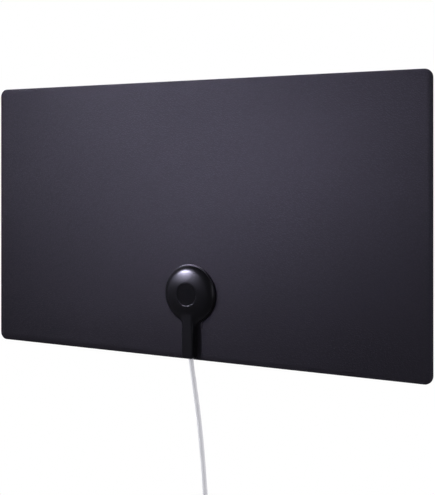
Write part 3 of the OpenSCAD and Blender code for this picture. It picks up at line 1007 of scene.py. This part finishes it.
@dataclass
class FrontFilm:
    """The grained front film with the flat sealed rim round its edge."""

    width_mm: float = 430.0
    height_mm: float = 238.0
    corner_mm: float = 7.0
    back_mm: float = 0.5
    front_mm: float = 1.1
    seal_mm: float = 1.3
    seal_slope_mm: float = 0.35
    seal_drop_mm: float = 0.18
    edge_mm: float = 0.12
    corner_steps: int = 12

    def build(self) -> bpy.types.Object:
        """Makes the film from a block: round corners, an inset field and a soft edge.

        Returns:
            The film.
        """
        thick = self.front_mm - self.back_mm
        film = Workpiece.block(
            "front_film",
            mm(0, -(self.front_mm + self.back_mm) / 2, 0),
            mm(self.width_mm, thick, self.height_mm),
        )
        film.edges(lambda a, b: abs(a.y - b.y) > mm(thick / 2))
        bpy.ops.mesh.bevel(offset=mm(self.corner_mm), segments=self.corner_steps, affect="EDGES")
        face = -mm(self.front_mm)
        film.faces(lambda c, n: n.y < -ALONG)
        bpy.ops.mesh.inset(thickness=mm(self.seal_mm))
        bpy.ops.mesh.inset(thickness=mm(self.seal_slope_mm))
        self.lower_rim(film, face)
        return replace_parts(film.finish("film_front", smooth_deg=60), "front_sheet")

    def lower_rim(self, film: Workpiece, face: float) -> None:
        """Presses the rim back and rounds the outer edge.

        Args:
            film: The film on the bench.
            face: The front face's Y.
        """
        half_w, half_h = mm(self.width_mm / 2), mm(self.height_mm / 2)
        seal, corner = mm(self.seal_mm), mm(self.corner_mm)

        def to_edge(p: Vector) -> float:
            """Measures how far a point lies inside the outline of the sheet.

            Args:
                p: The point.

            Returns:
                The distance in metres.
            """
            dx, dz = half_w - abs(p.x), half_h - abs(p.z)
            if dx < corner and dz < corner:
                return corner - math.hypot(corner - dx, corner - dz)
            return min(dx, dz)

        mesh = bmesh.from_edit_mesh(film.obj.data)
        for vert in mesh.verts:
            on_face = abs(vert.co.y - face) < SAME_PLACE
            vert.select_set(on_face and to_edge(vert.co) < seal + SLACK)
        mesh.select_flush_mode()
        bmesh.update_edit_mesh(film.obj.data)
        bpy.ops.transform.translate(value=(0, mm(self.seal_drop_mm), 0))
        rim = face + mm(self.seal_drop_mm)
        film.edges(
            lambda a, b: abs(a.y - rim) < SAME_PLACE
            and abs(b.y - rim) < SAME_PLACE
            and to_edge(a) < SLACK
            and to_edge(b) < SLACK
        )
        bpy.ops.mesh.bevel(offset=mm(self.edge_mm), segments=2, affect="EDGES")


@dataclass
class Housing:
    """The dome-and-stem housing: its moulded base and cover, made from their CAD pieces."""

    edge_mm: float = 0.3
    cell_mm: float = 0.4
    # The soft join of dome and stem: its height, its reach up and down, the outer share of the
    # reach where it fades, how far forward it starts, and over what depth it fades in.
    join_z_mm: float = -84.0
    join_reach_mm: float = 10.0
    join_fade_share: float = 0.5
    join_front_mm: float = 3.4
    join_fade_mm: float = 1.0
    join_passes: int = 80
    skin_passes: int = 4
    smooth_factor: float = 0.5
    flat_deg: float = 1.0
    sharp_deg: float = 35.0

    def copy(self, frame: Mapping[str, Any], node: str, name: str) -> Workpiece:
        """Copies a CAD node onto the bench and merges its triangles.

        Args:
            node: The CAD node.
            name: The new piece's name.

        Returns:
            The copy, in edit mode.
        """
        obj = bpy.data.objects.new(name, frame["nodes"][node].data.copy())
        bpy.context.scene.collection.objects.link(obj)
        piece = Workpiece(name, obj)
        bpy.ops.object.mode_set(mode="EDIT")
        bpy.ops.mesh.select_all(action="SELECT")
        bpy.ops.mesh.remove_doubles(threshold=SAME_PLACE)
        return piece

    def base(self, frame: Mapping[str, Any]) -> bpy.types.Object:
        """Makes the base with its sharp edges rounded.


        Returns:
            The base.
        """
        piece = self.copy(frame, "housing_base", "housing_base_moulded")
        bpy.ops.mesh.dissolve_limited(angle_limit=math.radians(self.flat_deg))
        piece.modify(
            "BEVEL",
            width=mm(self.edge_mm),
            segments=2,
            limit_method="ANGLE",
            angle_limit=math.radians(self.sharp_deg),
            use_clamp_overlap=True,
        )
        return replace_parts(piece.finish("shell_black", smooth_deg=30), "housing_base")

    def join_weight(self, place: Vector) -> float:
        """Weighs how far a point takes part in the soft join of dome and stem.

        Args:
            place: The point.

        Returns:
            1 for a point well forward near the join's height, and 0 away from there.
        """
        along = 1 - abs(place.z - mm(self.join_z_mm)) / mm(self.join_reach_mm)
        front = (-place.y - mm(self.join_front_mm)) / mm(self.join_fade_mm)
        return min(max(along / self.join_fade_share, 0), 1) * min(max(front, 0), 1)

    def cover(self, frame: Mapping[str, Any]) -> bpy.types.Object:
        """Makes the cover as one skin: even cells, and the stem drawn softly out of the dome.


        Returns:
            The cover.
        """
        piece = self.copy(frame, "housing_cover", "housing_cover_moulded")
        piece.modify("REMESH", mode="VOXEL", voxel_size=mm(self.cell_mm))
        group = piece.obj.vertex_groups.new(name="join")
        for vert in piece.obj.data.vertices:
            group.add([vert.index], self.join_weight(vert.co), "REPLACE")
        factor = self.smooth_factor
        piece.modify("SMOOTH", factor=factor, iterations=self.join_passes, vertex_group="join")
        piece.modify("SMOOTH", factor=factor, iterations=self.skin_passes)
        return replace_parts(piece.finish("shell_black", smooth_deg=60), "housing_cover")

    def build(self, frame: Mapping[str, Any]) -> None:
        """Makes the pieces of the housing that show."""
        for made in (self.base(frame), self.cover(frame)):
            LOG.info("%s, %d faces", made.name, len(made.data.polygons))


# The studio


@dataclass(frozen=True)
class Softbox:
    """A rectangular softbox and the place where it hangs.

    Attributes:
        name: The light's name.
        azimuth_deg: Degrees round the object, 0 in front of it and 90 on its left.
        elevation_deg: Degrees above it.
        distance_m: Distance from it.
        size_m: Width and height.
        watts: Power.
        colour: Hex code of its light.
        glossy: Whether it shows as a highlight.
        diffuse: Whether it lights matt surfaces.
        beam_deg: Opening of its beam. A grid in front of a softbox narrows it.
        aim_mm: The point it faces, where that isn't the target.
    """

    name: str
    azimuth_deg: float
    elevation_deg: float
    distance_m: float
    size_m: tuple[float, float]
    watts: float
    colour: str = "#ffffff"
    glossy: bool = True
    diffuse: bool = True
    beam_deg: float = 180.0
    aim_mm: Point | None = None


SOFTBOXES = (
    # A gridded softbox that shows only in reflections: the dome's highlight and the film's sheen.
    Softbox(
        "key_softbox", 38, 28, 1.3, (0.52, 0.42), 1.6, "#f2f0ff",
        diffuse=False, beam_deg=27, aim_mm=(145.0, 0.0, -60.0),
    ),
    # A small lamp from the left and a tall one from the right, for matt surfaces alone.
    Softbox("left_lamp", 60, 22, 1.7, (0.2, 0.2), 28, glossy=False),
    Softbox("right_softbox", -86, 5, 1.6, (0.6, 0.9), 13, glossy=False),
    # A thin strip that shows only in reflections, on the right rims.
    Softbox("rim_strip", -80, 8, 1.0, (0.1, 0.5), 0.8, diffuse=False),
    # A softbox behind the object, for views of its back.
    Softbox("rear_softbox", 150, 30, 2.0, (1.0, 1.0), 24),
)


@dataclass
class Studio:
    """Camera, soft lights and a pale floor, none of them part of the object."""

    camera_mm: Point = (486.1, -767.1, 43.5)
    look: Point = (-0.5143, 0.8576, 0.0)
    lens_mm: float = 77.3
    sensor_mm: float = 36.0
    shift_y: float = -0.159
    target_mm: Point = (0.0, 0.0, -40.0)
    floor_mm: float = -1250.0
    floor_r_m: float = 2.2
    floor_sides: int = 96
    floor_colour: str = "#f2f2f2"
    clip_m: tuple[float, float] = (0.01, 50.0)
    # How bright the surroundings are: the soft fill, the room in front and the paper behind.
    ambient: float = 0.32
    room: float = 0.05
    paper: float = 0.8
    # Where reflections pass from the room to the paper: by direction in the backdrop, by
    # distance behind the object on the floor.
    backdrop_from: tuple[float, float] = (0.3, 0.9)
    floor_from_m: tuple[float, float] = (-0.2, 1.0)
    softboxes: tuple[Softbox, ...] = SOFTBOXES

    def camera(self) -> None:
        """Sets the camera up at the photograph's viewing angle."""
        data = bpy.data.cameras.new("view")
        data.lens, data.sensor_width = self.lens_mm, self.sensor_mm
        data.shift_y = self.shift_y
        data.clip_start, data.clip_end = self.clip_m
        camera = bpy.data.objects.new("view", data)
        camera.location = mm(*self.camera_mm)
        camera.rotation_mode = "QUATERNION"
        camera.rotation_quaternion = Vector(self.look).to_track_quat("-Z", "Y")
        bpy.context.scene.collection.objects.link(camera)
        bpy.context.scene.camera = camera

    def hang(self, box: Softbox) -> None:
        """Hangs a softbox so that it faces the object.

        Args:
            box: The softbox and its place.
        """
        data = bpy.data.lights.new(box.name, "AREA")
        data.shape = "RECTANGLE"
        data.size, data.size_y = box.size_m
        data.energy, data.color = box.watts, linear(box.colour)[:3]
        data.spread = math.radians(box.beam_deg)
        light = bpy.data.objects.new(box.name, data)
        a, e = math.radians(box.azimuth_deg), math.radians(box.elevation_deg)
        way = Vector((-math.sin(a) * math.cos(e), -math.cos(a) * math.cos(e), math.sin(e)))
        light.location = mm(*self.target_mm) + way * box.distance_m
        beam = mm(*(box.aim_mm or self.target_mm)) - light.location
        light.rotation_mode = "QUATERNION"
        light.rotation_quaternion = beam.to_track_quat("-Z", "Y")
        light.visible_glossy, light.visible_diffuse = box.glossy, box.diffuse
        bpy.context.scene.collection.objects.link(light)

    def seen(self, tree: bpy.types.NodeTree) -> bpy.types.NodeSocket:
        """A factor that is 1 for rays that see the background: straight, mirrored or through.

        Args:
            tree: The node tree that needs it.

        Returns:
            The socket with the factor.
        """
        path = add_node(tree, "ShaderNodeLightPath").outputs
        some = maths(tree, "MAXIMUM", path["Is Camera Ray"], path["Is Glossy Ray"])
        return maths(tree, "MAXIMUM", some, path["Is Transmission Ray"])

    def world(self) -> None:
        """Makes the surroundings: a white backdrop, a dimmer room in front and a soft fill.

        Everything behind the object is white paper to look at, and metal and clear
        pieces show it too. Reflections from the camera's side see the dimmer room.
        """
        world = bpy.data.worlds.new("surroundings")
        tree = empty_tree(world)
        path = add_node(tree, "ShaderNodeLightPath")
        way = add_node(tree, "ShaderNodeTexCoord")
        parts = add_node(tree, "ShaderNodeSeparateXYZ", {}, {0: way.outputs["Generated"]})
        backdrop = add_node(
            tree, "ShaderNodeMapRange",
            {
                "interpolation_type": "SMOOTHSTEP",
                "From Min": self.backdrop_from[0],
                "From Max": self.backdrop_from[1],
                "To Min": self.room,
            },
            {"Value": parts.outputs["Y"]},
        )
        white = maths(tree, "MAXIMUM", path.outputs["Is Camera Ray"], backdrop.outputs[0])
        level = add_node(
            tree, "ShaderNodeMix", {"data_type": "FLOAT", MIX_NUMBERS[0]: self.ambient},
            {0: self.seen(tree), MIX_NUMBERS[1]: white},
        )
        sky = add_node(
            tree, "ShaderNodeBackground", {"Color": WHITE}, {"Strength": level.outputs[0]}
        )
        add_node(tree, "ShaderNodeOutputWorld", {}, {"Surface": sky.outputs[0]})
        bpy.context.scene.world = world

    def floor(self) -> None:
        """Lays a wide pale floor that keeps the object's shadow."""
        deselect_everything()
        bpy.ops.mesh.primitive_circle_add(
            vertices=self.floor_sides, radius=self.floor_r_m, fill_type="NGON",
            location=(0, 0, mm(self.floor_mm)),
        )
        floor = bpy.context.object
        floor.name = "pale_floor"
        made = bpy.data.materials.new("matt_white_paper")
        tree = empty_tree(made)
        matt = add_node(tree, "ShaderNodeBsdfDiffuse", {"Color": linear(self.floor_colour)})
        place = add_node(tree, "ShaderNodeTexCoord")
        parts = add_node(tree, "ShaderNodeSeparateXYZ", {}, {0: place.outputs["Object"]})
        depth = add_node(
            tree, "ShaderNodeMapRange",
            {
                "From Min": self.floor_from_m[0],
                "From Max": self.floor_from_m[1],
                "To Min": self.room,
                "To Max": self.paper,
            },
            {"Value": parts.outputs["Y"]},
        )
        mirrored = add_node(
            tree, "ShaderNodeEmission", {"Color": WHITE}, {"Strength": depth.outputs[0]}
        )
        glow = maths(tree, "MULTIPLY", self.seen(tree), self.paper)
        lit = add_node(tree, "ShaderNodeEmission", {"Color": WHITE}, {"Strength": glow})
        both = add_node(
            tree, "ShaderNodeAddShader", {}, {0: matt.outputs[0], 1: lit.outputs[0]}
        )
        path = add_node(tree, "ShaderNodeLightPath")
        mixed = add_node(
            tree, "ShaderNodeMixShader", {},
            {0: path.outputs["Is Glossy Ray"], 1: both.outputs[0], 2: mirrored.outputs[0]},
        )
        add_node(tree, "ShaderNodeOutputMaterial", {}, {"Surface": mixed.outputs[0]})
        floor.data.materials.append(made)

    def build(self) -> None:
        """Sets up the whole studio."""
        self.camera()
        for box in self.softboxes:
            self.hang(box)
        self.world()
        self.floor()
        bpy.context.scene.view_settings.view_transform = "Standard"
        LOG.info("studio")


def main() -> None:
    """Builds the looks round the frame, piece by piece."""
    logging.basicConfig(level=logging.INFO, format="%(name)s: %(message)s")
    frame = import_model()
    Studio().build()
    cord = Cord()
    tie = CordTie(cord=cord).build()
    plug = Plug().build()
    insulator = frame["nodes"]["plug_insulator"]
    cord.build([tie, *plug, insulator])
    FrontFilm().build()
    LOG.info("front film")
    Housing().build(frame)
    for part in frame["record"]["subparts"]:
        dress(frame["nodes"][part["node"]], part["material_slot"])
    LOG.info("finishes on %d CAD nodes", len(frame["nodes"]))


if __name__ == "__main__":
    main()
